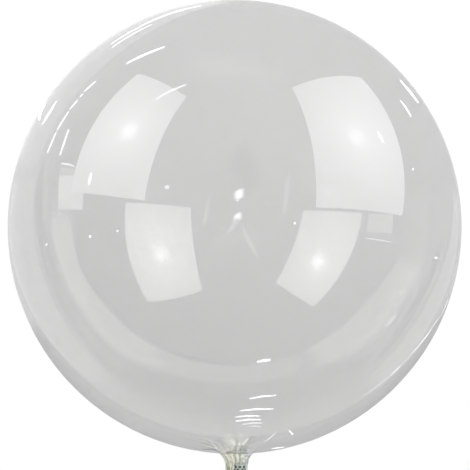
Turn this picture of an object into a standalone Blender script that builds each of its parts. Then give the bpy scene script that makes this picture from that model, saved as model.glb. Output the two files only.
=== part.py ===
"""A clear bubble balloon that lies on its side: the sealed film, the fitting in its neck and the tie round it."""

import math

import bpy
from mathutils import Matrix, Vector

# Driving dimensions, in metres. Heights are along the neck's axis, from the balloon's middle.
BALLOON_DIAMETER = 0.500
REST_SPOT_DIAMETER = 0.054
NECK_DIAMETER = 0.0247
NECK_FILLET = 0.021
NECK_SHIFT = 0.0021
NECK_LENGTH = 0.026
GATHER_LENGTH = 0.009
TAIL_DIAMETER = 0.033
TAIL_LENGTH = 0.026

PLUG_DIAMETER = 0.0130
PLUG_SHIFT = 0.0060
PLUG_REACH = 0.019
PLUG_FLANGE_DIAMETER = 0.0170
PLUG_FLANGE_THICKNESS = 0.0025
PLUG_STANDS_OUT = 0.0040
PLUG_TIP_RADIUS = 0.0010
PORT_DIAMETER = 0.0026
PORT_DEPTH = 0.0015
PORT_BELOW_TIP = 0.0030
PORT_COUNT = 8

FILM_OVER_PLUG = 0.0016
TIE_THICKNESS = 0.0026
CLEARANCE = 0.0003

PLEAT_COUNT = 16
PLEAT_DEPTH = 0.0006
FAN_PLEAT_DEPTH = 0.0012
FAN_DIAMETER = 0.104
RUFFLE_COUNT = 8
RUFFLE_DEPTH = 0.0022

# Fineness of the faceted solids
TURNS = 64
HALF_STEPS = 11
CURVE_STEPS = 5
ROUND_STEPS = 32
PORT_STEPS = 10
RING_STEPS = 40
CORD_STEPS = 8

# Sizes that follow from the driving dimensions
BALLOON_RADIUS = BALLOON_DIAMETER / 2
NECK_RADIUS = NECK_DIAMETER / 2
PLUG_RADIUS = PLUG_DIAMETER / 2
REST_HEIGHT = math.sqrt(BALLOON_RADIUS**2 - (REST_SPOT_DIAMETER / 2) ** 2)
WAIST_RADIUS = PLUG_RADIUS + CLEARANCE + FILM_OVER_PLUG
FILLET_OUT = NECK_RADIUS + NECK_FILLET
FILLET_HEIGHT = -math.sqrt((BALLOON_RADIUS + NECK_FILLET) ** 2 - FILLET_OUT**2)
NECK_END = -BALLOON_RADIUS - NECK_LENGTH
TIE_HEIGHT = NECK_END - GATHER_LENGTH
HEM_HEIGHT = TIE_HEIGHT - TAIL_LENGTH
PLUG_TIP = TIE_HEIGHT + PLUG_REACH
PLUG_END = HEM_HEIGHT - PLUG_STANDS_OUT
BALLOON_CENTRE = Vector((0, 0, REST_HEIGHT))


def clear_scene():
    """Removes the startup objects."""
    for old in list(bpy.data.objects):
        bpy.data.objects.remove(old, do_unlink=True)


def make_collection(name):
    """A collection in the scene, for the parts or for the cutters."""
    collection = bpy.data.collections.new(name)
    bpy.context.scene.collection.children.link(collection)
    return collection


def make_material(name, colour, roughness, transmission=0.0):
    """A plain Principled material."""
    material = bpy.data.materials.new(name)
    material.use_nodes = True
    shader = material.node_tree.nodes["Principled BSDF"]
    shader.inputs["Base Color"].default_value = (*colour, 1.0)
    shader.inputs["Roughness"].default_value = roughness
    shader.inputs["Metallic"].default_value = 0.0
    shader.inputs["Transmission Weight"].default_value = transmission
    material.diffuse_color = (*colour, 1.0)
    return material


def ease(value, start, end):
    """Rises smoothly from 0 at start to 1 at end."""
    share = min(1.0, max(0.0, (value - start) / (end - start)))
    return share * share * (3 - 2 * share)


def arc(middle_out, middle_height, radius, start, end, steps):
    """Points along an arc in the profile's plane. Angles are from the outward direction, up to the crown."""
    points = []
    for step in range(steps + 1):
        angle = start + (end - start) * step / steps
        out = middle_out + radius * math.cos(angle)
        height = middle_height + radius * math.sin(angle)
        points.append((out, height))
    return points


def swept(start, end, steps):
    """Points of an S-shaped run between two (radius, height) points, without the first."""
    points = []
    for step in range(1, steps + 1):
        share = step / steps
        out = start[0] + (end[0] - start[0]) * ease(share, 0, 1)
        height = start[1] + (end[1] - start[1]) * share
        points.append((out, height))
    return points


def turned(name, profile, steps, collection):
    """A solid turned by a Screw from a (radius, height) profile that runs from its top to its bottom."""
    guide = bpy.data.meshes.new(name + "_profile")
    edges = [(index, index + 1) for index in range(len(profile) - 1)]
    guide.from_pydata([(out, 0, height) for out, height in profile], edges, [])
    spun = bpy.data.objects.new(name, guide)
    collection.objects.link(spun)
    screw = spun.modifiers.new("turn", "SCREW")
    screw.axis = "Z"
    screw.angle = math.tau
    screw.steps = steps
    screw.render_steps = steps
    screw.use_merge_vertices = True
    screw.merge_threshold = 0.00001
    return spun


def made_mesh(obj):
    """Applies an object's modifiers to its mesh."""
    graph = bpy.context.evaluated_depsgraph_get()
    mesh = bpy.data.meshes.new_from_object(obj.evaluated_get(graph))
    obj.modifiers.clear()
    obj.data = mesh
    return obj


def lay_down(obj):
    """Turns an upright piece so that its neck points along -Y, and sets the balloon's middle at its resting height."""
    obj.location = BALLOON_CENTRE
    obj.rotation_euler = (-math.pi / 2, 0, 0)


def smooth(obj, sharp_degrees):
    """Shades a round piece smooth, with edges above the given angle kept sharp."""
    obj.data.shade_smooth()
    obj.data.set_sharp_from_angle(angle=math.radians(sharp_degrees))


def film_profile():
    """The film's outline: round balloon, fillet, neck, waist under the tie, and flared tail with a flat hem."""
    shoulder = math.asin(FILLET_HEIGHT / (BALLOON_RADIUS + NECK_FILLET))
    points = arc(0, 0, BALLOON_RADIUS, math.pi / 2, 0, HALF_STEPS)
    points[0] = (0, BALLOON_RADIUS)
    points += arc(0, 0, BALLOON_RADIUS, 0, shoulder, HALF_STEPS)[1:]
    fillet_start = math.pi + shoulder
    points += arc(FILLET_OUT, FILLET_HEIGHT, NECK_FILLET, fillet_start, math.pi, CURVE_STEPS)[1:]
    points.append((NECK_RADIUS, NECK_END))
    waist_top = (WAIST_RADIUS, TIE_HEIGHT + TIE_THICKNESS / 2)
    points += swept(points[-1], waist_top, CURVE_STEPS)
    waist_bottom = (WAIST_RADIUS, TIE_HEIGHT - TIE_THICKNESS / 2)
    points.append(waist_bottom)
    points += swept(waist_bottom, (TAIL_DIAMETER / 2, HEM_HEIGHT), CURVE_STEPS)
    points.append((0, HEM_HEIGHT))
    return points


def neck_middle(height):
    """How far the film's middle has moved to the right at this height."""
    into_neck = NECK_SHIFT * ease(-height, BALLOON_RADIUS * 0.92, BALLOON_RADIUS + NECK_LENGTH / 2)
    to_plug = (PLUG_SHIFT - NECK_SHIFT) * ease(-height, -NECK_END - GATHER_LENGTH / 3, -TIE_HEIGHT)
    return into_neck + to_plug


def gathered(point):
    """Moves a point of the turned film for the pleats that fan out round the neck and the ruffles of the tail."""
    out = math.hypot(point.x, point.y)
    if point.z > 0 or out < 0.0001:
        return Vector((point.x + neck_middle(point.z), point.y, point.z))
    angle = math.atan2(point.y, point.x)
    sideways = Vector((math.cos(angle), math.sin(angle), 0))
    fan = 1 - ease(out, NECK_RADIUS, FAN_DIAMETER / 2)
    on_neck = ease(-point.z, BALLOON_RADIUS, BALLOON_RADIUS + NECK_LENGTH / 2)
    direction = sideways * on_neck + point.normalized() * (1 - on_neck)
    depth = FAN_PLEAT_DEPTH + (PLEAT_DEPTH - FAN_PLEAT_DEPTH) * on_neck
    move = direction * depth * fan * math.cos(PLEAT_COUNT * angle)
    tail = ease(-point.z, -TIE_HEIGHT + TIE_THICKNESS, -HEM_HEIGHT)
    rim = out / (TAIL_DIAMETER / 2)
    move += sideways * RUFFLE_DEPTH * tail * rim * math.cos(RUFFLE_COUNT * angle)
    return point + move + Vector((neck_middle(point.z), 0, 0))


def keep_in(obj, collection):
    """Puts a new primitive in one collection only."""
    for holder in list(obj.users_collection):
        holder.objects.unlink(obj)
    collection.objects.link(obj)


def make_cutter(obj, cutters):
    """Keeps a cutter out of renders and of the part."""
    keep_in(obj, cutters)
    obj.hide_render = True
    obj.display_type = "WIRE"


def cut(obj, cutter):
    """Takes a cutter out of an object with a Boolean."""
    boolean = obj.modifiers.new(cutter.name, "BOOLEAN")
    boolean.operation = "DIFFERENCE"
    boolean.solver = "EXACT"
    boolean.object = cutter


def make_film(parts, cutters):
    """The inflated film, flat where it rests, with a pocket that holds the plug."""
    film = made_mesh(turned("balloon_film", film_profile(), TURNS, parts))
    for vertex in film.data.vertices:
        vertex.co = gathered(vertex.co)
    lay_down(film)
    cut(film, make_plug_pocket(cutters))
    cut(film, make_rest_cutter(cutters))
    smooth(film, 40)
    film.data.materials.append(make_material("clear_film", (0.80, 0.80, 0.79), 0.03, 0.9))
    return film


def make_plug_pocket(cutters):
    """A cylinder that clears the plug, from past its outer end up to its tip."""
    top = PLUG_TIP + CLEARANCE
    bpy.ops.mesh.primitive_cylinder_add(
        vertices=ROUND_STEPS, radius=PLUG_RADIUS + CLEARANCE, depth=top - PLUG_END
    )
    pocket = bpy.context.object
    pocket.name = "plug_pocket"
    pocket.data.transform(Matrix.Translation((PLUG_SHIFT, 0, (top + PLUG_END) / 2)))
    lay_down(pocket)
    make_cutter(pocket, cutters)
    return pocket


def make_rest_cutter(cutters):
    """A block with its top at the height of the surface that the balloon rests on."""
    block = BALLOON_RADIUS
    bpy.ops.mesh.primitive_cube_add(size=block, location=(0, 0, -block / 2))
    cutter = bpy.context.object
    cutter.name = "rest_spot"
    make_cutter(cutter, cutters)
    return cutter


def plug_profile():
    """The fitting's outline: rounded tip, straight stem and end flange."""
    rounding_out = PLUG_RADIUS - PLUG_TIP_RADIUS
    rounding_height = PLUG_TIP - PLUG_TIP_RADIUS
    flange_top = PLUG_END + PLUG_FLANGE_THICKNESS
    flange = PLUG_FLANGE_DIAMETER / 2
    points = [(0, PLUG_TIP)]
    points += arc(rounding_out, rounding_height, PLUG_TIP_RADIUS, math.pi / 2, 0, CURVE_STEPS)
    points += [(PLUG_RADIUS, flange_top), (flange, flange_top), (flange, PLUG_END), (0, PLUG_END)]
    return points


def make_plug(parts, cutters):
    """The fitting in the neck, with a ring of small ports below its tip."""
    plug = made_mesh(turned("neck_plug", plug_profile(), ROUND_STEPS, parts))
    plug.data.transform(Matrix.Translation((PLUG_SHIFT, 0, 0)))
    lay_down(plug)
    for index in range(PORT_COUNT):
        cut(plug, make_port(index, cutters))
    smooth(plug, 35)
    plug.data.materials.append(make_material("plug_plastic", (0.62, 0.68, 0.68), 0.35))
    return plug


def make_port(index, cutters):
    """A cutter for one port: a short cylinder whose axis points out from the plug's."""
    bpy.ops.mesh.primitive_cylinder_add(vertices=PORT_STEPS, radius=PORT_DIAMETER / 2, depth=2 * PORT_DEPTH)
    port = bpy.context.object
    port.name = f"port_{index + 1}"
    turn = Matrix.Rotation(math.tau * (index + 0.5) / PORT_COUNT, 4, "Z")
    outward = Matrix.Translation((PLUG_RADIUS, 0, 0)) @ Matrix.Rotation(math.pi / 2, 4, "Y")
    place = Matrix.Translation((PLUG_SHIFT, 0, PLUG_TIP - PORT_BELOW_TIP))
    port.data.transform(place @ turn @ outward)
    lay_down(port)
    make_cutter(port, cutters)
    return port


def make_tie(parts):
    """The round tie that holds the gathered film on the fitting."""
    ring_radius = WAIST_RADIUS + PLEAT_DEPTH + CLEARANCE + TIE_THICKNESS / 2
    bpy.ops.mesh.primitive_torus_add(
        major_radius=ring_radius,
        minor_radius=TIE_THICKNESS / 2,
        major_segments=RING_STEPS,
        minor_segments=CORD_STEPS,
    )
    tie = bpy.context.object
    tie.name = "neck_tie"
    keep_in(tie, parts)
    tie.data.transform(Matrix.Translation((PLUG_SHIFT, 0, TIE_HEIGHT)))
    lay_down(tie)
    tie.data.shade_smooth()
    tie.data.materials.append(make_material("tie_cord", (0.06, 0.07, 0.055), 0.6))
    return tie


def main():
    clear_scene()
    parts = make_collection("clear bubble balloon")
    cutters = make_collection("cutters")
    make_film(parts, cutters)
    make_plug(parts, cutters)
    make_tie(parts)


main()
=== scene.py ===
"""A clear bubble balloon that lies on its side, seen from straight above, its neck towards the viewer."""

import math
import random

import bmesh
import bpy
from mathutils import Matrix, Vector, noise


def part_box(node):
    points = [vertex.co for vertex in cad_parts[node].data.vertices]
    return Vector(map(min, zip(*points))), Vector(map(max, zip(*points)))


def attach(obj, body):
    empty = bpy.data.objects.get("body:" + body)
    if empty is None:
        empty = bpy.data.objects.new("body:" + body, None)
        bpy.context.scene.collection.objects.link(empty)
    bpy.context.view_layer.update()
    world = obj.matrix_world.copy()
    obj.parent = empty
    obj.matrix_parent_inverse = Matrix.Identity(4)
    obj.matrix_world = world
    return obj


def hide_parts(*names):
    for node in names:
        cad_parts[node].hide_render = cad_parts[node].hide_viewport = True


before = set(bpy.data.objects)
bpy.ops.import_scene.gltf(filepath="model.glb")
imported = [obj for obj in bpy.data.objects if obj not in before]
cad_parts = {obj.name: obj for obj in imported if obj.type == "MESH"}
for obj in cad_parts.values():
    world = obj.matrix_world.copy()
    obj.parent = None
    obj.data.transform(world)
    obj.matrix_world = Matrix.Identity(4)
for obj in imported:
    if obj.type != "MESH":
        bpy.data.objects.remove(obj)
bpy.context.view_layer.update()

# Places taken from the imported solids, in metres
FILM_LOW, FILM_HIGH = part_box("balloon_film")
PLUG_LOW, PLUG_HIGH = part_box("neck_plug")
TIE_LOW, TIE_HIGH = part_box("neck_tie")
RADIUS = (FILM_HIGH.x - FILM_LOW.x) / 2
MIDDLE = Vector((0, FILM_HIGH.y - RADIUS, FILM_HIGH.z - RADIUS))
PLUG_AXIS = (PLUG_LOW.x + PLUG_HIGH.x) / 2
PLUG_TIP = PLUG_HIGH.y
PLUG_END = PLUG_LOW.y
FLANGE_RADIUS = (PLUG_HIGH.x - PLUG_LOW.x) / 2
TIE_Y = (TIE_LOW.y + TIE_HIGH.y) / 2
HEM_Y = FILM_LOW.y

# The film, from its round body to the hem below the tie
FILM_THICKNESS = 0.00030
NECK_RADIUS = 0.01235
NECK_FILLET = 0.021
NECK_RUN_IN = 0.013
NECK_SHIFT = 0.0021
NECK_SHIFT_START = 0.92
NECK_END_Y = -0.276
WAIST_LEAD = 0.003
WAIST_RADIUS = 0.0084
WAIST_HALF_LENGTH = 0.0022
TAIL_RADIUS = 0.0165
FLOOR_GAP = 0.00002
FAN_REACH = 0.058
FAN_EDGE = FAN_REACH * 1.3

# Rows of the film's mesh, from the crown to the hem, and points round each row
CROWN_ROWS = 57
FAN_ROWS = 22
FILLET_ROWS = 24
NECK_ROWS = 14
GATHER_ROWS = 12
WAIST_ROWS = 3
TAIL_ROWS = 16
TURNS = 288

# Creases that fan out from the neck. Pairs are the ranges that each crease draws from
CREASE_COUNT = 23
CREASE_SEED = 11
CREASE_DEPTH = 0.0036
CREASE_WIDTH = 0.00105
CREASE_PLACES = (-0.4, 0.4)
CREASE_WIDTHS = (0.7, 1.4)
CREASE_STRENGTHS = (0.35, 1.1)
CREASE_REACHES = (0.6, 1.25)
CREASE_BENDS = (-0.3, 0.3)
SIDE_CREASE_STRENGTH = 0.3
CREASE_WIDENING = 0.4
CREASE_FADE = 1.25
CREASE_WIDTHS_SEEN = 5
BEND_LENGTH = 0.05
SWAY_ANGLE = 0.05
SWAY_RATE = 400
FITTING_CLEARANCE = 0.0005

# Crumples between the creases, and the tail's ruffles
BULGE = 0.0006
CRUMPLE_DEPTH = 0.00045
CRUMPLE_SIZE = 0.0034
FINE_CRUMPLE_SIZE = 0.4 * CRUMPLE_SIZE
FINE_CRUMPLE_SHARE = 0.5
RUFFLE_DEPTH = 0.0024
RUFFLES = 8
RUFFLE_DRIFT = 0.6
RUFFLE_DRIFTS = 3
SMALL_RUFFLES = 13
SMALL_RUFFLE_SHARE = 0.35
SMALL_RUFFLE_TURN = 1.1

# The fitting in the neck
PLUG_RADIUS = 0.0065
PLUG_TIP_RADIUS = 0.0010
FLANGE_THICKNESS = 0.0025
FLANGE_EDGE = 0.0006
PORT_RADIUS = 0.0016
PORT_DEPTH = 0.0019
PORTS_IN_A_RING = 8
PORT_RINGS = (0.0025, 0.0059)
PLUG_SIDES = 64
PORT_SIDES = 20
TIP_STEPS = 6
EDGE_STEPS = 4
SHARP_ANGLE = math.radians(35)

# The cord of the tie and its strands
CORD_RADIUS = 0.00065
CORD_TURNS = 3
CORD_TURN_SPACING = 2.1 * CORD_RADIUS
CORD_TURN_STEPS = 72
STRAND_COUNT = 3
STRAND_RADIUS = 0.00034
STRAND_PITCH = 0.0042
STRAND_STEP = 0.00045

# The knot, in the cord's radii and round the neck, and its two ends: heading and how far each droops
KNOT_ANGLE = math.radians(62)
KNOT_SEAT = 4.2
KNOT_SIZE = 0.85
KNOT_LIFT = 1.25
KNOT_START = math.radians(-58)
KNOT_SWEEP = math.radians(296)
KNOT_STEPS = 96
KNOT_SMOOTHING = 6
CORD_END_LENGTH = 0.014
CORD_END_STEPS = 24
CORD_ENDS = (((-0.35, -0.86, 0.1), 0.004), ((0.62, -0.72, 0.1), 0.005))

# Film's gloss, and its colours from darker to lighter clouds or crumples
FILM_GLOSS = 1.75
# Film tone, lighter at the crown and darker towards the neck
CROWN_FILM_TONE = ((0.613, 0.613, 0.608), (0.633, 0.633, 0.628))
NECK_FILM_TONE = ((0.573, 0.573, 0.568), (0.593, 0.593, 0.588))
GATHERED_FILM = ((0.66, 0.67, 0.54), (0.93, 0.94, 0.81))
COOL_GATHERED_FILM = ((0.49, 0.52, 0.51), (0.72, 0.75, 0.73))
# Painted glints: nearly clear flecks that brighten the gathered film
PAINTED_GLINT_COLOUR = (0.98, 0.98, 0.90)
# Painted shade that darkens the film along its creases
CREASE_SHADE = (0.30, 0.30, 0.27)
INSIDE_FILM = ((0.99, 0.99, 0.99), (1.0, 1.0, 1.0))

# Where those colours change: metres from the balloon's middle towards the neck, or to the right or to a side
NECKWARD_TONE_RANGE = (-0.6 * RADIUS, 0.5 * RADIUS)
NECK_RANGE = (RADIUS - 0.004, RADIUS + 0.006)
FAN_RANGE = (RADIUS - 0.0085, RADIUS - 0.004)
COOL_RANGE = (0.006, 0.013)
ASIDE_RANGE = (0.008, 0.018)

# Noise in the film: scales, and the part of the noise that shows
FILM_CLOUD_SCALE = 6.0
INSIDE_CLOUD_SCALE = 9.0
CRUMPLE_SCALE = 300.0
CRUMPLE_RANGE = (0.36, 0.64)
# Noise of the painted glints on the gathered film
PAINTED_GLINT_SCALE = 420.0
PAINTED_GLINT_RANGE = (0.54, 0.62)

# Colours of the fitting, its ports, the cord and the floor, from darker to lighter clouds, and their grain
FITTING_PLASTIC = ((0.40, 0.47, 0.45), (0.56, 0.62, 0.61))
# Painted shade inside the ports, for their depth
PAINTED_PORT_SHADE = ((0.012, 0.018, 0.012), (0.03, 0.04, 0.028))
DARK_CORD = ((0.035, 0.042, 0.033), (0.085, 0.095, 0.075))
PALE_FLOOR = ((0.905, 0.905, 0.905), (0.925, 0.925, 0.925))
GRAIN_HEIGHT = 0.0001

# Studio light above and below the middle: its level, and how it changes to the right and to the crown
STUDIO_ABOVE = (0.5, 0.14, 0.26)
STUDIO_BELOW = (0.81, -0.04, 0.04)
STUDIO_FADE = 0.5
STUDIO_LEAST = 0.05
STUDIO_FAR_WALL = 0.62
BACKDROP = 0.6
OVERHEAD_WIDTH = 2.1
OVERHEAD_HEIGHT = 3.4
OVERHEAD_POWER = 79.0
FLOOR_SIZE = 40

# Photograph's frame and camera
FRAME_PIXELS = 470
OUTLINE_PIXELS = 227.1
OUTLINE_MIDDLE = (234.6, 226.96)
CAMERA_DISTANCE = 5.0
SENSOR = 36.0
FOCAL_PIXELS = OUTLINE_PIXELS * math.sqrt(CAMERA_DISTANCE**2 - 1)

# Windows that the film mirrors: corners and glare in the photograph's pixels, whether its far wall mirrors
# them, brightness, how much the glare's core and halo add to that, and distance in radii
WINDOWS = (
    ("near_left", ((138.2, 73.7), (186.6, 96.8), (71.6, 192.2), (144.5, 200.7)), (129, 131),
     False, 2.25, 0.9, 0.6, 2.5),
    ("near_right", ((291.6, 87.6), (361.5, 77.8), (315.8, 207.2), (402, 215.8)), (357, 137),
     False, 2.42, 0.66, 0.6, 2.5),
    ("far_left", ((313.4, 306.6), (275.9, 282.9), (362.4, 213.3), (303.5, 210.5)), (318, 262),
     True, 3.85, 1.6, 0.52, 3.2),
    ("far_right", ((202.8, 290.6), (147.7, 302), (190.8, 207.7), (125.6, 202.8)), (161.5, 254),
     True, 4.25, 1.35, 0.5, 3.2),
)
GLARE_CORE = 0.17
GLARE_HALO = 0.95

# Lamps that the film mirrors as streaks: brightness, width and points, in the photograph's pixels
STREAKS = (
    (7.0, 2.4, ((126, 63.8), (145, 54.5), (164.5, 47))),
    (5.0, 2.4, ((155.2, 99.7), (170, 91), (186.5, 84.5))),
    (4.0, 2.0, ((42.3, 124.2), (49.4, 112.8), (56.4, 101.4))),
    (4.0, 2.2, ((38.9, 120), (41, 111), (45, 103.8))),
    (6.0, 1.5, ((95.5, 81.4), (90, 86.2), (84.4, 91.4))),
    (6.0, 1.5, ((82.7, 94.1), (80, 96.6))),
    (6.0, 1.5, ((77.8, 99.8), (73.6, 104.6), (69.4, 109.6))),
    (6.0, 1.6, ((68.4, 111.8), (63, 120.3), (57.3, 129.6))),
    (5.0, 1.4, ((56.2, 132.2), (51.8, 142), (47.5, 153))),
    (6.5, 2.0, ((68.8, 129.5), (64.5, 141.5), (60, 155.5))),
    (6.0, 3.4, ((91.4, 172.5), (90, 178.5), (88.6, 185))),
    (2.8, 1.3, ((201, 5.8), (180, 10.5), (158, 18), (135, 29.5), (111, 44))),
    (3.0, 1.3, ((152, 24.5), (131, 35), (112, 47.5))),
    (6.0, 1.8, ((400.5, 80.6), (409.5, 91), (418, 102.4))),
    (6.0, 1.8, ((400.5, 100.5), (406.2, 108), (411.3, 116.8))),
    (6.5, 3.0, ((377.7, 131.2), (380.6, 136.5), (383.8, 142.8))),
    (7.0, 3.2, ((256.8, 361.9), (264, 360.5), (270.6, 359.6))),
    (6.0, 2.0, ((249.5, 398.6), (262, 396.4), (276, 395.3))),
    (6.0, 2.0, ((239.8, 410.8), (256, 409), (273.4, 408.8))),
    (5.5, 1.8, ((235.2, 417.2), (247, 415.8), (259.5, 416))),
    (5.5, 1.8, ((235.7, 421.2), (248, 419.5), (261, 419.6))),
    (3.4, 1.5, ((242.8, 424.4), (253, 423), (262.4, 422.9))),
    (1.9, 1.8, ((248.5, 426.2), (255, 426.2), (261.5, 426.6))),
    (1.9, 1.3, ((275.8, 432), (271.5, 437), (264.3, 441.7))),
    (4.0, 1.6, ((289.3, 430.5), (292.9, 434.6))),
    (1.8, 1.4, ((271.5, 448.5), (278, 447.8), (284.2, 447))),
    (1.15, 3.6, ((230.6, 439.6), (233.2, 442.2), (235.6, 444.4))),
    (1.8, 2.4, ((248.4, 438.2), (245.4, 442), (242.4, 445))),
    (1.5, 1.6, ((239.5, 442.6), (239.5, 444), (239.5, 445.6))),
    (1.6, 0.9, ((210, 440), (215, 446), (219, 451))),
    (4.2, 1.9, ((61, 163.6), (68, 164.2), (74.5, 166.4))),
    (3.6, 1.3, ((366.6, 238.4), (379, 240), (391.5, 242.2))),
    (1.3, 1.0, ((448.4, 298.5), (445.2, 306.8), (441.1, 315.2))),
    (1.5, 0.9, ((441.1, 315.2), (436.8, 320.8), (432, 328.2))),
    (2.0, 1.0, ((432, 328.2), (427.3, 335.1), (422, 341.6), (416, 349), (410.5, 355))),
    (1.5, 0.9, ((410.5, 355), (406.7, 359.6), (400, 366.2))),
    (2.8, 1.0, ((400, 366.2), (395.5, 370.8), (390.6, 375.7))),
    (1.5, 1.0, ((390.6, 375.7), (384, 380.8), (377.6, 385.6), (370.7, 391), (363, 395.8))),
    (5.0, 2.4, ((237.6, 199.4), (237.6, 201.6))),
    (3.8, 4.6, ((164.8, 187), (167, 187), (169.2, 187))),
    (6.0, 2.0, ((116.5, 231), (118.5, 231))),
    (8.0, 2.6, ((88.8, 236.4), (91.2, 236.4))),
    (5.0, 2.0, ((45.6, 244.4), (47.2, 244.4))),
    (6.0, 2.2, ((412, 169.2), (414, 169.2))),
    (7.0, 2.4, ((293.6, 223.3), (295.8, 223.3))),
    (3.5, 2.0, ((434.6, 257.8), (438, 257.8))),
)
STREAK_TAPER = 0.55
LAMP_DISTANCE = 1.7
GLOW_SETBACK = 0.01

# Plain panels of the room that the film mirrors: brightness, distance, then rows of their left and right ends
PANELS = (
    (1.95, 2.9, ((59.0, 176), (84, 176)), ((58.3, 193), (83.4, 193)), ((58.0, 209.5), (82.6, 209.5))),
    (1.15, 2.9, ((60.8, 166.5), (76, 169)), ((59.2, 176), (80, 176))),
    (1.6, 2.9, ((368.4, 214), (393.2, 214)), ((367.8, 224), (392.8, 224)), ((366.6, 232), (391.8, 233))),
    (0.8, 2.9, ((366.6, 232), (391.8, 233)), ((365.8, 238), (390.8, 241))),
)

# Fainter things of the room, mirrored as soft glows: brightness, width and points, in the photograph's pixels
GLOWS = (
    (1.35, 11, ((289.5, 160), (287.5, 185), (285, 205), (283, 226))),
    (1.25, 9, ((209.5, 190), (207.5, 205), (205.5, 219), (203.5, 233))),
    (1.7, 9, ((239, 216), (235.5, 222), (231, 229), (227.5, 237))),
    (1.25, 6, ((212, 226), (221, 228.5), (230, 228.5))),
    (1.38, 8, ((239, 220), (246, 236), (254, 250), (262, 262))),
    (0.66, 46, ((196, 262), (224, 240), (252, 232), (284, 244))),
    (1.0, 60, ((172, 86), (212, 70), (254, 70), (300, 86))),
    (0.22, 40, ((232, 142), (240, 160), (250, 178), (258, 196))),
    (0.0, 7, ((158, 348), (184, 356), (211, 360.5), (240, 361.5))),
    (1.35, 6, ((263, 197), (267, 203), (271, 208))),
    (1.9, 6, ((79, 290), (83.5, 299.5), (89, 309))),
    (2.1, 7, ((384, 331), (391, 320.5), (397.5, 310))),
    (7.5, 14, ((239, 187.2), (239, 192.2), (239, 196.6), (239, 200.8))),
    (6.5, 12.5, ((237.6, 210.6), (237.6, 215.8), (237.6, 218.6), (237.6, 224.4))),
)

# Soft bands of light and shade near the rim: brightness, soft share of the width at each edge, and rows of
# (degrees round the outline, inner edge, outer edge), as shares of the outline's radius
BANDS = (
    ("upper_left", 1.12, 0.2, 0.0, (
        (84, 0.99, 1), (97, 0.975, 1), (105, 0.948, 1), (112, 0.925, 1),
        (121, 0.908, 1), (132, 0.895, 1), (150, 0.895, 1), (172, 0.885, 1),
    )),
    ("left", 1.03, 0.15, 0.1, (
        (158, 0.895, 1), (175, 0.88, 1), (190, 0.86, 1),
        (205, 0.845, 0.975), (220, 0.84, 0.945), (238, 0.84, 0.92),
    )),
    ("right", 0.98, 0.3, 0.1, (
        (303, 0.865, 0.93), (315, 0.865, 0.955), (330, 0.875, 0.965), (345, 0.905, 0.985),
        (360, 0.95, 0.99), (378, 0.98, 0.995),
    )),
    ("left_line", 0.42, 0.3, 0.3, (
        (156, 0.882, 0.905), (168, 0.862, 0.9), (180, 0.832, 0.875), (195, 0.80, 0.855),
        (210, 0.785, 0.84), (225, 0.785, 0.84), (243, 0.785, 0.84),
    )),
    ("right_line", 0.52, 0.3, 0.3, (
        (312, 0.83, 0.87), (330, 0.835, 0.875), (345, 0.865, 0.90), (360, 0.905, 0.935),
    )),
    ("ring_left", 1.12, 0.15, 0.3, (
        (168, 0.73, 0.855), (180, 0.705, 0.83), (195, 0.70, 0.80), (210, 0.655, 0.785),
        (225, 0.635, 0.78), (240, 0.62, 0.74), (252, 0.61, 0.72),
    )),
    ("ring_low", 0.66, 0.15, 0.3, (
        (232, 0.62, 0.76), (245, 0.61, 0.72), (270, 0.605, 0.70), (290, 0.605, 0.71), (305, 0.615, 0.76),
    )),
    ("ring_right", 1.16, 0.15, 0.3, (
        (292, 0.61, 0.72), (302, 0.61, 0.74), (315, 0.625, 0.80), (330, 0.65, 0.825),
        (345, 0.70, 0.86), (357, 0.76, 0.89),
    )),
    ("below", 0.56, 0.3, 0.0, (
        (200, 0.98, 1), (212, 0.95, 1), (228, 0.93, 1), (245, 0.92, 1), (275, 0.915, 1),
        (300, 0.93, 1), (315, 0.952, 1), (330, 0.974, 1), (347, 0.99, 1),
    )),
)
BAND_STEP = 3
BAND_DISTANCE = 2.1
BAND_END_ROWS = 5
BAND_SMOOTHING = 6
OUTLINE_LIMIT = 0.9995


def ease(value, start, end):
    """Rises smoothly from 0 at start to 1 at end."""
    share = min(1.0, max(0.0, (value - start) / (end - start)))
    return share * share * (3 - 2 * share)


def mix(first, second, share):
    """Goes from the first value to the second as share goes from 0 to 1."""
    return first + (second - first) * share


def steps_to_end(count):
    """Shares of a way, from its first step to 1 at its end."""
    return [step / count for step in range(1, count + 1)]


def new_object(name, mesh):
    """An object for this mesh, in the scene."""
    thing = bpy.data.objects.new(name, mesh)
    bpy.context.scene.collection.objects.link(thing)
    return thing


def shaped_mesh(thing):
    """The mesh that an object's modifiers or its curve make."""
    bpy.context.view_layer.update()
    shaped = thing.evaluated_get(bpy.context.evaluated_depsgraph_get())
    return bpy.data.meshes.new_from_object(shaped)


# Film

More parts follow.
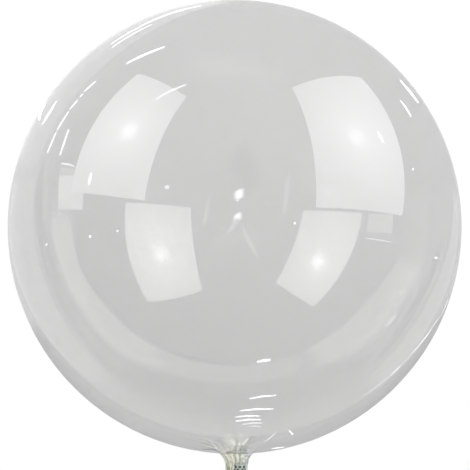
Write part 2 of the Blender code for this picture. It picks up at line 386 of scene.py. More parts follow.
def film_rows():
    """The film's outline from the crown to the hem, as (distance from the neck's axis, y) rows."""
    fillet_out = NECK_RADIUS + NECK_FILLET
    fillet_y = -math.sqrt((RADIUS + NECK_FILLET) ** 2 - fillet_out**2)
    shoulder = math.acos(fillet_y / (RADIUS + NECK_FILLET))
    fan_top = math.pi - math.asin(FAN_EDGE / RADIUS)
    waist_top = TIE_Y + WAIST_HALF_LENGTH
    waist_foot = TIE_Y - WAIST_HALF_LENGTH
    rows = []
    for share in steps_to_end(CROWN_ROWS):
        angle = fan_top * share
        rows.append((RADIUS * math.sin(angle), RADIUS * math.cos(angle)))
    for share in steps_to_end(FAN_ROWS):
        angle = mix(fan_top, shoulder, share)
        rows.append((RADIUS * math.sin(angle), RADIUS * math.cos(angle)))
    for share in steps_to_end(FILLET_ROWS):
        angle = mix(math.pi - shoulder, math.pi / 2, share)
        rows.append((fillet_out - NECK_FILLET * math.sin(angle), fillet_y + NECK_FILLET * math.cos(angle)))
    for share in steps_to_end(NECK_ROWS):
        rows.append((NECK_RADIUS, mix(fillet_y, NECK_END_Y, share)))
    for share in steps_to_end(GATHER_ROWS):
        rows.append((mix(NECK_RADIUS, WAIST_RADIUS, ease(share, 0, 1)), mix(NECK_END_Y, waist_top, share)))
    for share in steps_to_end(WAIST_ROWS):
        rows.append((WAIST_RADIUS, mix(waist_top, waist_foot, share)))
    for share in steps_to_end(TAIL_ROWS):
        rows.append((mix(WAIST_RADIUS, TAIL_RADIUS, ease(share, 0, 1)), mix(waist_foot, HEM_Y, share)))
    return rows


def make_creases(count, seed):
    """Creases round the neck: each has a place, a width, a strength and how far it runs up the balloon."""
    draw = random.Random(seed)
    creases = []
    for index in range(count):
        angle = math.tau * (index + draw.uniform(*CREASE_PLACES)) / count
        in_front = mix(SIDE_CREASE_STRENGTH, 1, abs(math.sin(angle)))
        creases.append({
            "angle": angle,
            "width": CREASE_WIDTH * draw.uniform(*CREASE_WIDTHS),
            "strength": draw.uniform(*CREASE_STRENGTHS) * in_front,
            "reach": FAN_REACH * draw.uniform(*CREASE_REACHES),
            "bend": draw.uniform(*CREASE_BENDS),
            "sway": draw.uniform(0, math.tau),
        })
    return creases


def angle_between(first, second):
    """The signed difference of two angles, from -pi to pi."""
    return (first - second + math.pi) % math.tau - math.pi


def crease_share(creases, angle, out, y):
    """How deep the creases are here, from 0 between them to about 1 in their deepest lines."""
    deep = 0.0
    for crease in creases:
        spread = math.sqrt(1 - ease(out, NECK_RADIUS, crease["reach"]))
        if spread <= 0:
            continue
        bend = crease["bend"] * ease(-y, -TIE_Y - BEND_LENGTH, -TIE_Y)
        turn = bend + SWAY_ANGLE * math.sin(crease["sway"] + y * SWAY_RATE)
        width = crease["width"] * mix(1, out / NECK_RADIUS, CREASE_WIDENING)
        away = abs(angle_between(angle, crease["angle"] + turn)) * out / width
        if away < CREASE_WIDTHS_SEEN:
            deep += crease["strength"] * spread * math.exp(-(away**CREASE_FADE))
    return min(1.0, deep)


def neck_middle(y):
    """How far the film's middle has moved to the right at this place along the neck."""
    into_neck = NECK_SHIFT * ease(-y, RADIUS * NECK_SHIFT_START, RADIUS + NECK_RUN_IN)
    at_waist = ease(-y, -NECK_END_Y - WAIST_LEAD, -TIE_Y - WAIST_HALF_LENGTH)
    to_plug = (PLUG_AXIS - NECK_SHIFT) * at_waist
    return into_neck + to_plug


def crease_room(out, y, angle):
    """How deep a crease may go here before it meets the fitting."""
    if y > PLUG_TIP + PLUG_RADIUS:
        return CREASE_DEPTH
    aside = PLUG_AXIS - neck_middle(y)
    reach = aside * math.cos(angle) + math.sqrt(PLUG_RADIUS**2 - (aside * math.sin(angle)) ** 2)
    room = out - reach - FILM_THICKNESS - FITTING_CLEARANCE
    return max(0.0, min(CREASE_DEPTH, room))


def ruffle(angle):
    """How far the tail's ruffles stand out at this angle, in shares of their depth."""
    large = math.cos(RUFFLES * angle + RUFFLE_DRIFT * math.sin(RUFFLE_DRIFTS * angle))
    return large + SMALL_RUFFLE_SHARE * math.cos(SMALL_RUFFLES * angle + SMALL_RUFFLE_TURN)


def film_point(creases, out, y, angle):
    """A point of the film, from its row and its angle round the neck's axis, and how creased it is there."""
    sideways = Vector((math.cos(angle), 0, math.sin(angle)))
    point = sideways * out + Vector((0, y, 0))
    share = 0.0
    if y < 0 and out < FAN_EDGE:
        on_neck = ease(-y, RADIUS, RADIUS + NECK_RUN_IN)
        outward = sideways * on_neck + point.normalized() * (1 - on_neck)
        share = crease_share(creases, angle, out, y)
        gathered = 1 - ease(out, NECK_RADIUS, FAN_REACH)
        fine = FINE_CRUMPLE_SHARE * noise.noise(point / FINE_CRUMPLE_SIZE)
        crumple = CRUMPLE_DEPTH * (noise.noise(point / CRUMPLE_SIZE) + fine)
        room = crease_room(out, y, angle)
        point -= outward * min(room, room * share + gathered * (crumple - BULGE))
    tail = ease(-y, -TIE_Y + WAIST_HALF_LENGTH, -HEM_Y)
    if tail > 0:
        point += sideways * RUFFLE_DEPTH * tail * ruffle(angle)
    point.x += neck_middle(y)
    point += MIDDLE
    point.z = max(point.z, FLOOR_GAP)
    return point, share


def make_film():
    """The clear film: one sheet of slight thickness, gathered at the neck and flared below the tie."""
    creases = make_creases(CREASE_COUNT, CREASE_SEED)
    rows = film_rows()
    verts = [Vector((0, RADIUS, 0)) + MIDDLE]
    shares = [0.0]
    for out, y in rows:
        for turn in range(TURNS):
            point, share = film_point(creases, out, y, math.tau * turn / TURNS)
            verts.append(point)
            shares.append(share)
    faces = []
    for turn in range(TURNS):
        after = (turn + 1) % TURNS
        faces.append((0, 1 + after, 1 + turn))
    for row in range(len(rows) - 1):
        first = 1 + row * TURNS
        for turn in range(TURNS):
            after = (turn + 1) % TURNS
            faces.append((first + turn, first + after, first + TURNS + after, first + TURNS + turn))
    mesh = bpy.data.meshes.new("film")
    mesh.from_pydata(verts, [], faces)
    mesh.attributes.new("crease", "FLOAT", "POINT").data.foreach_set("value", shares)
    mesh.shade_smooth()
    film = new_object("film", mesh)
    wall = film.modifiers.new("wall", "SOLIDIFY")
    wall.thickness = FILM_THICKNESS
    wall.offset = -1
    wall.material_offset = 1
    film.visible_shadow = False
    film.visible_diffuse = False
    return film


# Fitting in the neck

def turned(name, profile, steps):
    """A closed solid turned round the fitting's axis, from (distance from the axis, y) points, tip first."""
    middle = Vector((PLUG_AXIS, 0, MIDDLE.z))
    form = bmesh.new()
    rings = []
    for out, y in profile:
        ring = []
        for step in range(steps):
            angle = math.tau * step / steps
            ring.append(form.verts.new(middle + Vector((out * math.cos(angle), y, out * math.sin(angle)))))
        rings.append(ring)
    for upper, lower in zip(rings, rings[1:]):
        for step in range(steps):
            after = (step + 1) % steps
            form.faces.new((upper[step], upper[after], lower[after], lower[step]))
    form.faces.new(list(reversed(rings[0])))
    form.faces.new(rings[-1])
    bmesh.ops.recalc_face_normals(form, faces=form.faces)
    mesh = bpy.data.meshes.new(name)
    form.to_mesh(mesh)
    form.free()
    return new_object(name, mesh)


def rounded(out, y, radius, start, end, steps):
    """Points of a rounded edge, as (distance from the axis, y), about its middle."""
    points = []
    for step in range(steps + 1):
        angle = mix(start, end, step / steps)
        points.append((out + radius * math.cos(angle), y + radius * math.sin(angle)))
    return points


def plug_profile():
    """Half the fitting's section: round tip, straight barrel and the flange at its end."""
    quarter = math.pi / 2
    tip = PLUG_TIP_RADIUS
    edge = FLANGE_EDGE
    flange_top = PLUG_END + FLANGE_THICKNESS
    flange_out = FLANGE_RADIUS - edge
    profile = rounded(PLUG_RADIUS - tip, PLUG_TIP - tip, tip, quarter, 0, TIP_STEPS)
    profile += rounded(PLUG_RADIUS + edge, flange_top + edge, edge, 2 * quarter, 3 * quarter, EDGE_STEPS)
    profile += rounded(flange_out, flange_top - edge, edge, quarter, 0, EDGE_STEPS)
    profile += rounded(flange_out, PLUG_END + edge, edge, 0, -quarter, EDGE_STEPS)
    return profile


def port_cutter(material):
    """Round bars that cut the rings of ports behind the fitting's tip."""
    form = bmesh.new()
    for ring, below_tip in enumerate(PORT_RINGS):
        for index in range(PORTS_IN_A_RING):
            angle = math.tau * (index + 0.5 * ring) / PORTS_IN_A_RING
            outward = Vector((math.cos(angle), 0, math.sin(angle)))
            middle = Vector((PLUG_AXIS, PLUG_TIP - below_tip, MIDDLE.z)) + outward * PLUG_RADIUS
            turn = outward.to_track_quat("Z", "Y").to_matrix().to_4x4()
            bmesh.ops.create_cone(
                form, cap_ends=True, segments=PORT_SIDES, radius1=PORT_RADIUS, radius2=PORT_RADIUS,
                depth=2 * PORT_DEPTH, matrix=Matrix.Translation(middle) @ turn,
            )
    mesh = bpy.data.meshes.new("ports")
    form.to_mesh(mesh)
    form.free()
    mesh.materials.append(material)
    return new_object("ports", mesh)


def make_plug(plastic, dark):
    """The fitting, with ports cut into it, whose faces get painted shade for their depth."""
    plug = turned("fitting", plug_profile(), PLUG_SIDES)
    plug.data.materials.append(plastic)
    # The second slot paints shade into the ports
    plug.data.materials.append(dark)
    cutter = port_cutter(dark)
    cut = plug.modifiers.new("ports", "BOOLEAN")
    cut.operation = "DIFFERENCE"
    cut.solver = "EXACT"
    cut.material_mode = "TRANSFER"
    cut.object = cutter
    mesh = shaped_mesh(plug)
    plug.modifiers.clear()
    plug.data = mesh
    bpy.data.objects.remove(cutter)
    mesh.shade_smooth()
    mesh.set_sharp_from_angle(angle=SHARP_ANGLE)
    return plug


# Tie

def cord_route():
    """The middle of the cord in its turns round the gathered film."""
    middle = Vector((PLUG_AXIS, TIE_Y, MIDDLE.z))
    out = WAIST_RADIUS + CORD_RADIUS
    width = CORD_TURNS * CORD_TURN_SPACING
    points = []
    steps = CORD_TURN_STEPS * CORD_TURNS
    for step in range(steps + 1):
        angle = KNOT_ANGLE + math.tau * CORD_TURNS * step / steps
        y = width * (step / steps - 0.5)
        points.append(middle + Vector((out * math.cos(angle), -y, out * math.sin(angle))))
    return points


def knot_route():
    """A small overhand knot on top of the turns, with both its ends free."""
    outward = Vector((math.cos(KNOT_ANGLE), 0, math.sin(KNOT_ANGLE)))
    along = Vector((0, 1, 0))
    round_neck = outward.cross(along)
    seat = WAIST_RADIUS + KNOT_SEAT * CORD_RADIUS
    middle = Vector((PLUG_AXIS, TIE_Y, MIDDLE.z)) + outward * seat
    size = KNOT_SIZE * CORD_RADIUS
    points = []
    for step in range(KNOT_STEPS + 1):
        turn = KNOT_START + KNOT_SWEEP * step / KNOT_STEPS
        first = size * (math.sin(turn) + 2 * math.sin(2 * turn))
        second = size * (math.cos(turn) - 2 * math.cos(2 * turn))
        lift = -KNOT_LIFT * size * math.sin(3 * turn)
        points.append(middle + along * first + round_neck * second + outward * lift)
    return points


def cord_end(start, heading, fall):
    """A free end of cord: leaves the knot, then droops onto the film's tail."""
    ahead = Vector(heading).normalized() * CORD_END_LENGTH
    points = []
    for share in steps_to_end(CORD_END_STEPS):
        points.append(start + ahead * share - Vector((0, 0, fall * share * share)))
    return points


def smooth_route(points, times):
    """Softens the corners of a route by averaging each point with its neighbours."""
    for _ in range(times):
        softened = [points[0]]
        for before, point, after in zip(points, points[1:], points[2:]):
            softened.append((before + point * 2 + after) / 4)
        softened.append(points[-1])
        points = softened
    return points


def even_route(points, spacing):
    """The same route with its points evenly spaced."""
    spaced = [points[0]]
    left = spacing
    for start, end in zip(points, points[1:]):
        length = (end - start).length
        passed = 0.0
        while length - passed >= left:
            passed += left
            spaced.append(start.lerp(end, passed / length))
            left = spacing
        left -= length - passed
    return spaced


def strand_along(route, index):
    """One strand of twisted cord, as points that wind about the route."""
    points = []
    travelled = 0.0
    side = Vector((0, 1, 0))
    for step, point in enumerate(route):
        ahead = route[min(step + 1, len(route) - 1)] - route[max(step - 1, 0)]
        ahead.normalize()
        side = (side - ahead * side.dot(ahead)).normalized()
        up = ahead.cross(side)
        turn = math.tau * (index / STRAND_COUNT + travelled / STRAND_PITCH)
        offset = side * math.cos(turn) + up * math.sin(turn)
        points.append(point + offset * (CORD_RADIUS - STRAND_RADIUS))
        if step + 1 < len(route):
            travelled += (route[step + 1] - point).length
    return points


def make_tie():
    """Dark twisted cord wound round the gathered film and knotted."""
    curve = bpy.data.curves.new("tie_cord", "CURVE")
    curve.dimensions = "3D"
    curve.bevel_depth = STRAND_RADIUS
    curve.bevel_resolution = 1
    curve.use_fill_caps = True
    knot = knot_route()
    first_end = cord_end(knot[0], *CORD_ENDS[0])
    second_end = cord_end(knot[-1], *CORD_ENDS[1])
    knotted = list(reversed(first_end)) + knot + second_end
    for route in (cord_route(), smooth_route(knotted, KNOT_SMOOTHING)):
        route = even_route(route, STRAND_STEP)
        for index in range(STRAND_COUNT):
            points = strand_along(route, index)
            spline = curve.splines.new("POLY")
            spline.points.add(len(points) - 1)
            for target, point in zip(spline.points, points):
                target.co = (*point, 1)
    drawn = new_object("tie drawn", curve)
    mesh = shaped_mesh(drawn)
    bpy.data.objects.remove(drawn)
    mesh.shade_smooth()
    return new_object("tie_cord", mesh)


# Materials

def new_group(name, inputs, outputs):
    """A shader node group with these float inputs and outputs, and its input and output nodes."""
    group = bpy.data.node_groups.new(name, "ShaderNodeTree")
    for label in inputs:
        group.interface.new_socket(label, in_out="INPUT", socket_type="NodeSocketFloat")
    for label in outputs:
        group.interface.new_socket(label, in_out="OUTPUT", socket_type="NodeSocketFloat")
    entry = group.nodes.new("NodeGroupInput")
    result = group.nodes.new("NodeGroupOutput")
    return group, entry, result


def join(tree, source, target):
    """Links one socket to another."""
    tree.links.new(source, target)


def feed(tree, value, target):
    """Gives a socket its number or colour, or links another socket to it."""
    if isinstance(value, tuple):
        target.default_value = (*value, 1)
    elif isinstance(value, (int, float)):
        target.default_value = value
    else:
        join(tree, value, target)


def math_node(tree, operation, *values):
    """A Math node, whose inputs are numbers or sockets. Gives its output."""
    node = tree.nodes.new("ShaderNodeMath")
    node.operation = operation
    for index, value in enumerate(values):
        feed(tree, value, node.inputs[index])
    return node.outputs[0]


def noise_node(tree, vector, scale, detail, roughness):
    """A Noise texture. Gives its factor."""
    node = tree.nodes.new("ShaderNodeTexNoise")
    for label, value in (("Scale", scale), ("Detail", detail), ("Roughness", roughness), ("Vector", vector)):
        feed(tree, value, node.inputs[label])
    return node.outputs["Fac"]


def smooth_range(tree, value, low, high):
    """0 below low and 1 above high, with a soft change between."""
    node = tree.nodes.new("ShaderNodeMapRange")
    node.interpolation_type = "SMOOTHSTEP"
    join(tree, value, node.inputs["Value"])
    node.inputs["From Min"].default_value = low
    node.inputs["From Max"].default_value = high
    return node.outputs["Result"]


def mixed_colour(tree, share, first, second):
    """Goes from the first colour to the second. A colour is three numbers or a socket."""
    node = tree.nodes.new("ShaderNodeMix")
    node.data_type = "RGBA"
    join(tree, share, node.inputs["Factor"])
    for label, value in (("A", first), ("B", second)):
        feed(tree, value, [entry for entry in node.inputs if entry.name == label and entry.type == "RGBA"][0])
    return [entry for entry in node.outputs if entry.type == "RGBA"][0]


def bump_node(tree, height, strength, distance):
    """A Bump node on this height. Gives its normal."""
    node = tree.nodes.new("ShaderNodeBump")
    node.inputs["Strength"].default_value = strength
    node.inputs["Distance"].default_value = distance
    join(tree, height, node.inputs["Height"])
    return node.outputs["Normal"]


def grain_group():
    """Fine grain with broad soft clouds, for moulded plastic, cord and the floor."""
    group, entry, result = new_group("grain", ["Fine Scale", "Cloud Scale"], ["Grain", "Clouds"])
    place = group.nodes.new("ShaderNodeTexCoord").outputs["Object"]
    grain = noise_node(group, place, entry.outputs["Fine Scale"], detail=4, roughness=0.6)
    clouds = noise_node(group, place, entry.outputs["Cloud Scale"], detail=2, roughness=0.5)
    join(group, grain, result.inputs["Grain"])
    join(group, clouds, result.inputs["Clouds"])
    return group


def mirrored_rays(tree):
    """1 for rays that the film has mirrored, else 0."""
    depth = tree.nodes.new("ShaderNodeLightPath").outputs["Glossy Depth"]
    return math_node(tree, "GREATER_THAN", depth, 0.5)


def show_either(tree, share, first, second):
    """Shows the first shader where share is 0 and the second where it is 1."""
    blend = tree.nodes.new("ShaderNodeMixShader")
    join(tree, share, blend.inputs["Fac"])
    join(tree, first, blend.inputs[1])
    join(tree, second, blend.inputs[2])
    join(tree, blend.outputs[0], tree.nodes["Material Output"].inputs["Surface"])


def new_material(name):
    """A material with a bare Principled shader, its node tree and that shader."""
    material = bpy.data.materials.new(name)
    material.use_nodes = True
    return material, material.node_tree, material.node_tree.nodes["Principled BSDF"]


def grained_material(name, group, colours, fine_scale, cloud_scale, roughness, spread, bump=0.0):
    """An opaque finish in clouds of two colours. Fine grain roughens it and stands up a little."""
    material, tree, shader = new_material(name)
    node = tree.nodes.new("ShaderNodeGroup")
    node.node_tree = group
    node.inputs["Fine Scale"].default_value = fine_scale
    node.inputs["Cloud Scale"].default_value = cloud_scale
    grain = node.outputs["Grain"]
    join(tree, mixed_colour(tree, node.outputs["Clouds"], *colours), shader.inputs["Base Color"])
    join(tree, math_node(tree, "MULTIPLY_ADD", grain, spread, roughness), shader.inputs["Roughness"])
    if bump:
        join(tree, bump_node(tree, grain, bump, GRAIN_HEIGHT), shader.inputs["Normal"])
    return material


def clear_material(name):
    """A clear, smooth film, too slight to bend light, so it has no refraction."""
    material, tree, shader = new_material(name)
    shader.inputs["Roughness"].default_value = 0.0
    shader.inputs["IOR"].default_value = 1.0
    shader.inputs["Transmission Weight"].default_value = 1.0
    return material, tree, shader


def film_material():
    """Outside of the film: clear and glossy, faintly uneven, and a little yellow where it is gathered.

    One coat stands for the gloss of both faces.
    """
    material, tree, shader = clear_material("clear film")
    shader.inputs["Coat Weight"].default_value = 1.0
    shader.inputs["Coat Roughness"].default_value = 0.0
    shader.inputs["Coat IOR"].default_value = FILM_GLOSS
    place = tree.nodes.new("ShaderNodeTexCoord").outputs["Object"]
    parts = tree.nodes.new("ShaderNodeSeparateXYZ")
    join(tree, place, parts.inputs[0])
    down = math_node(tree, "MULTIPLY", parts.outputs["Y"], -1.0)
    clouds = noise_node(tree, place, FILM_CLOUD_SCALE, detail=1, roughness=0.4)
    # The film is darker towards the neck
    crown_tone = mixed_colour(tree, clouds, *CROWN_FILM_TONE)
    neck_tone = mixed_colour(tree, clouds, *NECK_FILM_TONE)
    body = mixed_colour(tree, smooth_range(tree, down, *NECKWARD_TONE_RANGE), crown_tone, neck_tone)
    crumples = noise_node(tree, place, CRUMPLE_SCALE, detail=3, roughness=0.6)
    crumples = smooth_range(tree, crumples, *CRUMPLE_RANGE)
    gathered = mixed_colour(tree, crumples, *GATHERED_FILM)
    cool = mixed_colour(tree, crumples, *COOL_GATHERED_FILM)
    gathered = mixed_colour(tree, smooth_range(tree, parts.outputs["X"], *COOL_RANGE), gathered, cool)
    # Painted glints: bright, nearly clear flecks scattered over the gathered film
    glint_noise = noise_node(tree, place, PAINTED_GLINT_SCALE, detail=1, roughness=0.5)
    gathered = mixed_colour(tree, smooth_range(tree, glint_noise, *PAINTED_GLINT_RANGE), gathered, PAINTED_GLINT_COLOUR)
    aside = math_node(tree, "ABSOLUTE", math_node(tree, "SUBTRACT", parts.outputs["X"], NECK_SHIFT))
    in_front = math_node(tree, "SUBTRACT", 1.0, smooth_range(tree, aside, *ASIDE_RANGE))
    fan = math_node(tree, "MULTIPLY", smooth_range(tree, down, *FAN_RANGE), in_front)
    neck = math_node(tree, "MAXIMUM", smooth_range(tree, down, *NECK_RANGE), fan)
    body = mixed_colour(tree, neck, body, gathered)
    # Painted shade: the film's colour is darkened along its creases
    crease = tree.nodes.new("ShaderNodeAttribute")
    crease.attribute_name = "crease"
    shade = mixed_colour(tree, crease.outputs["Fac"], (1.0, 1.0, 1.0), CREASE_SHADE)
    shaded = tree.nodes.new("ShaderNodeVectorMath")
    shaded.operation = "MULTIPLY"
    join(tree, body, shaded.inputs[0])
    join(tree, shade, shaded.inputs[1])
    join(tree, shaded.outputs[0], shader.inputs["Base Color"])
    return material


def film_inside_material():
    """Inside of the film: lets everything through, faintly uneven."""
    material, tree, shader = clear_material("film inside")
    place = tree.nodes.new("ShaderNodeTexCoord").outputs["Object"]
    clouds = noise_node(tree, place, INSIDE_CLOUD_SCALE, detail=1, roughness=0.4)
    join(tree, mixed_colour(tree, clouds, *INSIDE_FILM), shader.inputs["Base Color"])
    return material


def plug_material(group):
    """Pale blue-grey moulded plastic, slightly cloudy."""
    return grained_material(
        "pale fitting", group, FITTING_PLASTIC, fine_scale=900.0, cloud_scale=160.0,
        roughness=0.25, spread=0.2, bump=0.15,
    )


def port_shade_material(group):
    """Painted shade: near-black green-grey inside the ports, for the shade of their depth."""
    return grained_material(
        "painted port shade", group, PAINTED_PORT_SHADE, fine_scale=1200.0, cloud_scale=300.0, roughness=0.5, spread=0.2,
    )


def cord_material(group):
    """Dark twisted fibre."""
    return grained_material(
        "dark cord", group, DARK_CORD, fine_scale=2500.0, cloud_scale=500.0,
        roughness=0.55, spread=0.3, bump=0.5,
    )


def floor_material(group):
    """Pale, matt and nearly even. The film mirrors it as evenly lit, so that no horizon shows there."""
    material = grained_material(
        "pale floor", group, PALE_FLOOR, fine_scale=60.0, cloud_scale=1.5, roughness=0.85, spread=0.1,
    )
    tree = material.node_tree
    even = tree.nodes.new("ShaderNodeEmission")
    even.inputs["Strength"].default_value = STUDIO_FAR_WALL
    show_either(tree, mirrored_rays(tree), tree.nodes["Principled BSDF"].outputs[0], even.outputs[0])
    return material


# Floor, light and camera

def make_floor(material):
    """A plain pale floor."""
    bpy.ops.mesh.primitive_plane_add(size=FLOOR_SIZE)
    floor = bpy.context.object
    floor.name = "floor"
    floor.data.materials.append(material)
    floor.visible_glossy = False


def mirror_ray(pixel, far_wall):
    """Where the ray through this pixel meets a wall of the balloon, and its way once mirrored, in radii."""
    eye = Vector((0, 0, CAMERA_DISTANCE))
    ray = Vector((pixel[0] - OUTLINE_MIDDLE[0], OUTLINE_MIDDLE[1] - pixel[1], -FOCAL_PIXELS)).normalized()
    nearest = -eye.dot(ray)
    half_chord = math.sqrt(nearest**2 - eye.length_squared + 1)
    spot = eye + ray * (nearest + half_chord if far_wall else nearest - half_chord)
    return spot, ray - spot * 2 * ray.dot(spot)


def glow_material(name, level, glare=None, core=0.0, halo=0.0, soft=False):
    """An even glow, with a brighter glare about one point, or soft edges, where the photograph shows them.

    Only the film's reflections show it: a look straight through the film passes it.
    """
    material, tree, shader = new_material(name)
    tree.nodes.remove(shader)
    glow = tree.nodes.new("ShaderNodeEmission")
    glow.inputs["Strength"].default_value = level
    seen = mirrored_rays(tree)
    if soft:
        share = tree.nodes.new("ShaderNodeAttribute")
        share.attribute_name = "share"
        seen = math_node(tree, "MULTIPLY", smooth_range(tree, share.outputs["Fac"], 0.0, 1.0), seen)
    passed = tree.nodes.new("ShaderNodeBsdfTransparent")
    show_either(tree, seen, passed.outputs[0], glow.outputs[0])
    if glare is None:
        return material
    distance = tree.nodes.new("ShaderNodeVectorMath")
    distance.operation = "DISTANCE"
    join(tree, tree.nodes.new("ShaderNodeTexCoord").outputs["Object"], distance.inputs[0])
    distance.inputs[1].default_value = glare
    square = math_node(tree, "POWER", distance.outputs["Value"], 2.0)
    inner = math_node(tree, "EXPONENT", math_node(tree, "MULTIPLY", square, -1 / (GLARE_CORE * RADIUS) ** 2))
    outer = math_node(tree, "EXPONENT", math_node(tree, "MULTIPLY", square, -1 / (GLARE_HALO * RADIUS) ** 2))
    strength = math_node(tree, "MULTIPLY_ADD", outer, halo * level, level)
    strength = math_node(tree, "MULTIPLY_ADD", inner, core * level, strength)
    join(tree, strength, glow.inputs["Strength"])
    return material


def mirrored_place(pixel, far_wall, distance):
    """A place this many radii from the film, where it is mirrored at this pixel."""
    spot, ray = mirror_ray(pixel, far_wall)
    return MIDDLE + (spot + ray * distance) * RADIUS


def make_card(name, rows, material, distance, far_wall=False):
    """A glowing card that one wall of the film mirrors and nothing else sees.

    Each row is a few pixels across the card's mirror image, each with its share of the glow, from 0 to 1.
    """
    verts = []
    shares = []
    faces = []
    for index, row in enumerate(rows):
        first = index * len(row)
        for pixel, share in row:
            verts.append(mirrored_place(pixel, far_wall, distance))
            shares.append(share)
        if index:
            for corner in range(first, first + len(row) - 1):
                faces.append((corner - len(row), corner - len(row) + 1, corner + 1, corner))
    mesh = bpy.data.meshes.new(name)
    mesh.from_pydata(verts, [], faces)
    mesh.attributes.new("share", "FLOAT", "POINT").data.foreach_set("value", shares)
    mesh.materials.append(material)
    card = new_object(name, mesh)
    card.visible_camera = False
    card.visible_diffuse = False
    card.visible_shadow = False
    card.visible_volume_scatter = False
    card.visible_glossy = not far_wall
    card.visible_transmission = far_wall


def make_windows():
    """Two tall windows, which the film's near wall mirrors upright and its far wall mirrors turned over."""
    for name, corners, glare_pixel, far_wall, level, core, halo, distance in WINDOWS:
        places = [mirrored_place(corner, far_wall, distance) for corner in corners]
        middle = sum(places, Vector()) / len(places)
        facing = (places[3] - places[0]).cross(places[2] - places[1])
        spot, ray = mirror_ray(glare_pixel, far_wall)
        start = MIDDLE + spot * RADIUS
        glare = start + ray * ((middle - start).dot(facing) / ray.dot(facing))
        material = glow_material(name, level, glare, core, halo)
        rows = [[(corner, 1.0) for corner in pair] for pair in (corners[:2], corners[2:])]
        make_card(name, rows, material, distance, far_wall)


def streak_rows(points, width, soft):
    """Rows across the streak at each of its points, narrower or fainter towards both ends."""
    rows = []
    for index, point in enumerate(points):
        before = Vector(points[max(index - 1, 0)])
        after = Vector(points[min(index + 1, len(points) - 1)])
        heading = (after - before).normalized()
        across = Vector((-heading.y, heading.x)) * width / 2
        middle = Vector(point)
        at_end = index in (0, len(points) - 1)
        if soft:
            rows.append([(middle - across, 0.0), (middle, 0.0 if at_end else 1.0), (middle + across, 0.0)])
            continue
        if len(points) > 2 and at_end:
            across *= STREAK_TAPER
        rows.append([(middle - across, 1.0), (middle + across, 1.0)])
    return rows


def make_panels():
    """Plain pale panels of the room, which the film mirrors beside the windows."""
    for index, (level, distance, *edges) in enumerate(PANELS):
        rows = [[(left, 1.0), (right, 1.0)] for left, right in edges]
        make_card(f"panel_{index}", rows, glow_material(f"panel_{index}", level), distance)


def make_lamps():
    """Thin lamps of the room, mirrored as short bright streaks and specks, and fainter things beside them."""
    for index, (level, width, points) in enumerate(STREAKS):
        material = glow_material(f"lamp_{index}", level)
        make_card(f"lamp_{index}", streak_rows(points, width, False), material, LAMP_DISTANCE)
    for index, (level, width, points) in enumerate(GLOWS):
        material = glow_material(f"glow_{index}", level, soft=True)
        distance = LAMP_DISTANCE + width * GLOW_SETBACK
        make_card(f"glow_{index}", streak_rows(points, width, True), material, distance)


def on_outline(degrees, share):
    """The pixel at this angle round the outline, and at this share of its radius from its middle."""
    angle = math.radians(degrees)
    out = OUTLINE_PIXELS * min(share, OUTLINE_LIMIT)
    return OUTLINE_MIDDLE[0] + out * math.cos(angle), OUTLINE_MIDDLE[1] - out * math.sin(angle)


def band_rows(points, inner_soft, outer_soft):
    """Rows across a band every few degrees, with its corners softened and its ends faded out."""
    places = []
    for start, end in zip(points, points[1:]):
        steps = max(1, round((end[0] - start[0]) / BAND_STEP))
        places += [Vector(start).lerp(Vector(end), step / steps) for step in range(steps)]
    places = smooth_route(places + [Vector(points[-1])], BAND_SMOOTHING)
    rows = []
    for index, (degrees, inner, outer) in enumerate(places):
        share = ease(min(index, len(places) - 1 - index), 0, BAND_END_ROWS)
        row = [(on_outline(degrees, inner), 0.0), (on_outline(degrees, mix(inner, outer, inner_soft)), share)]
        row.append((on_outline(degrees, mix(outer, inner, outer_soft)), share))
        if outer_soft:
            row.append((on_outline(degrees, outer), 0.0))
        rows.append(row)
    return rows


def make_bands():
    """Soft bands of light and shade, mirrored along the balloon's rim by its near wall."""
    for name, level, inner_soft, outer_soft, points in BANDS:
        material = glow_material(name, level, soft=True)
        make_card(f"band_{name}", band_rows(points, inner_soft, outer_soft), material, BAND_DISTANCE)


def studio_level(tree, parts, values):
    """An even level, with one gradient towards the right and one towards the crown."""
    even, right, crown = values
    level = math_node(tree, "MULTIPLY_ADD", parts.outputs["X"], right, even)
    return math_node(tree, "MULTIPLY_ADD", parts.outputs["Y"], crown, level)


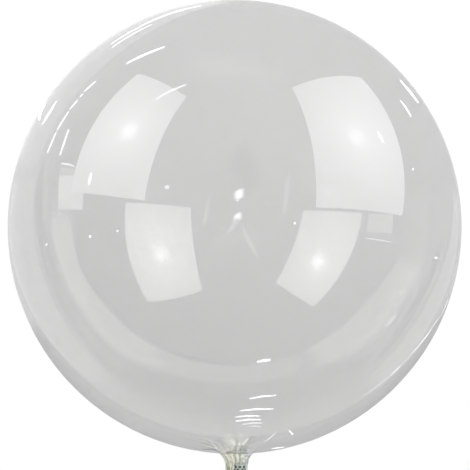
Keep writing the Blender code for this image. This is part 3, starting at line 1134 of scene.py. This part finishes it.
def make_world():
    """Soft studio light, with levels of its own above the balloon's middle and below it.

    The film's far wall mirrors an even light, and a look straight through the film sees an even backdrop.
    """
    world = bpy.data.worlds.new("studio")
    world.use_nodes = True
    tree = world.node_tree
    background = tree.nodes["Background"]
    background.inputs["Color"].default_value = (1, 1, 1, 1)
    direction = tree.nodes.new("ShaderNodeTexCoord").outputs["Generated"]
    parts = tree.nodes.new("ShaderNodeSeparateXYZ")
    join(tree, direction, parts.inputs[0])
    below = smooth_range(tree, math_node(tree, "MULTIPLY", parts.outputs["Z"], -1.0), 0.0, STUDIO_FADE)
    above = math_node(tree, "SUBTRACT", 1.0, below)
    upper = math_node(tree, "MULTIPLY", studio_level(tree, parts, STUDIO_ABOVE), above)
    level = math_node(tree, "MULTIPLY_ADD", studio_level(tree, parts, STUDIO_BELOW), below, upper)
    level = math_node(tree, "MAXIMUM", level, STUDIO_LEAST)
    path = tree.nodes.new("ShaderNodeLightPath")
    far_wall = path.outputs["Is Transmission Ray"]
    even = math_node(tree, "SUBTRACT", STUDIO_FAR_WALL, level)
    level = math_node(tree, "MULTIPLY_ADD", even, far_wall, level)
    bounces = math_node(tree, "ADD", path.outputs["Glossy Depth"], path.outputs["Diffuse Depth"])
    mirrored = math_node(tree, "GREATER_THAN", bounces, 0.5)
    change = math_node(tree, "SUBTRACT", level, BACKDROP)
    join(tree, math_node(tree, "MULTIPLY_ADD", change, mirrored, BACKDROP), background.inputs["Strength"])
    bpy.context.scene.world = world


def make_overhead_light():
    """A broad soft light high above, whose pool fades across the floor. The film doesn't mirror it."""
    light = bpy.data.lights.new("overhead", "AREA")
    light.shape = "DISK"
    light.size = OVERHEAD_WIDTH
    light.energy = OVERHEAD_POWER
    lamp = new_object("overhead", light)
    lamp.location = (0, 0, OVERHEAD_HEIGHT)
    lamp.visible_glossy = False
    lamp.visible_transmission = False


def make_camera():
    """Looks straight down on the balloon, from as far as the photograph was taken."""
    data = bpy.data.cameras.new("camera")
    data.sensor_width = SENSOR
    data.lens = SENSOR * FOCAL_PIXELS / FRAME_PIXELS
    data.shift_x = (FRAME_PIXELS / 2 - OUTLINE_MIDDLE[0]) / FRAME_PIXELS
    data.shift_y = (OUTLINE_MIDDLE[1] - FRAME_PIXELS / 2) / FRAME_PIXELS
    camera = new_object("camera", data)
    camera.location = MIDDLE + Vector((0, 0, CAMERA_DISTANCE * RADIUS))
    bpy.context.scene.camera = camera


def main():
    """Sets up the studio, then makes the film, the fitting and the tie."""
    bpy.context.scene.view_settings.view_transform = "Standard"
    grain = grain_group()
    make_camera()
    make_floor(floor_material(grain))
    make_world()
    make_overhead_light()
    make_windows()
    make_panels()
    make_lamps()
    make_bands()
    film = make_film()
    film.data.materials.append(film_material())
    film.data.materials.append(film_inside_material())
    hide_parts("balloon_film")
    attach(film, "root")
    plug = make_plug(plug_material(grain), port_shade_material(grain))
    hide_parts("neck_plug")
    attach(plug, "root")
    tie = make_tie()
    tie.data.materials.append(cord_material(grain))
    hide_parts("neck_tie")
    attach(tie, "root")


main()
bpy.context.view_layer.update()
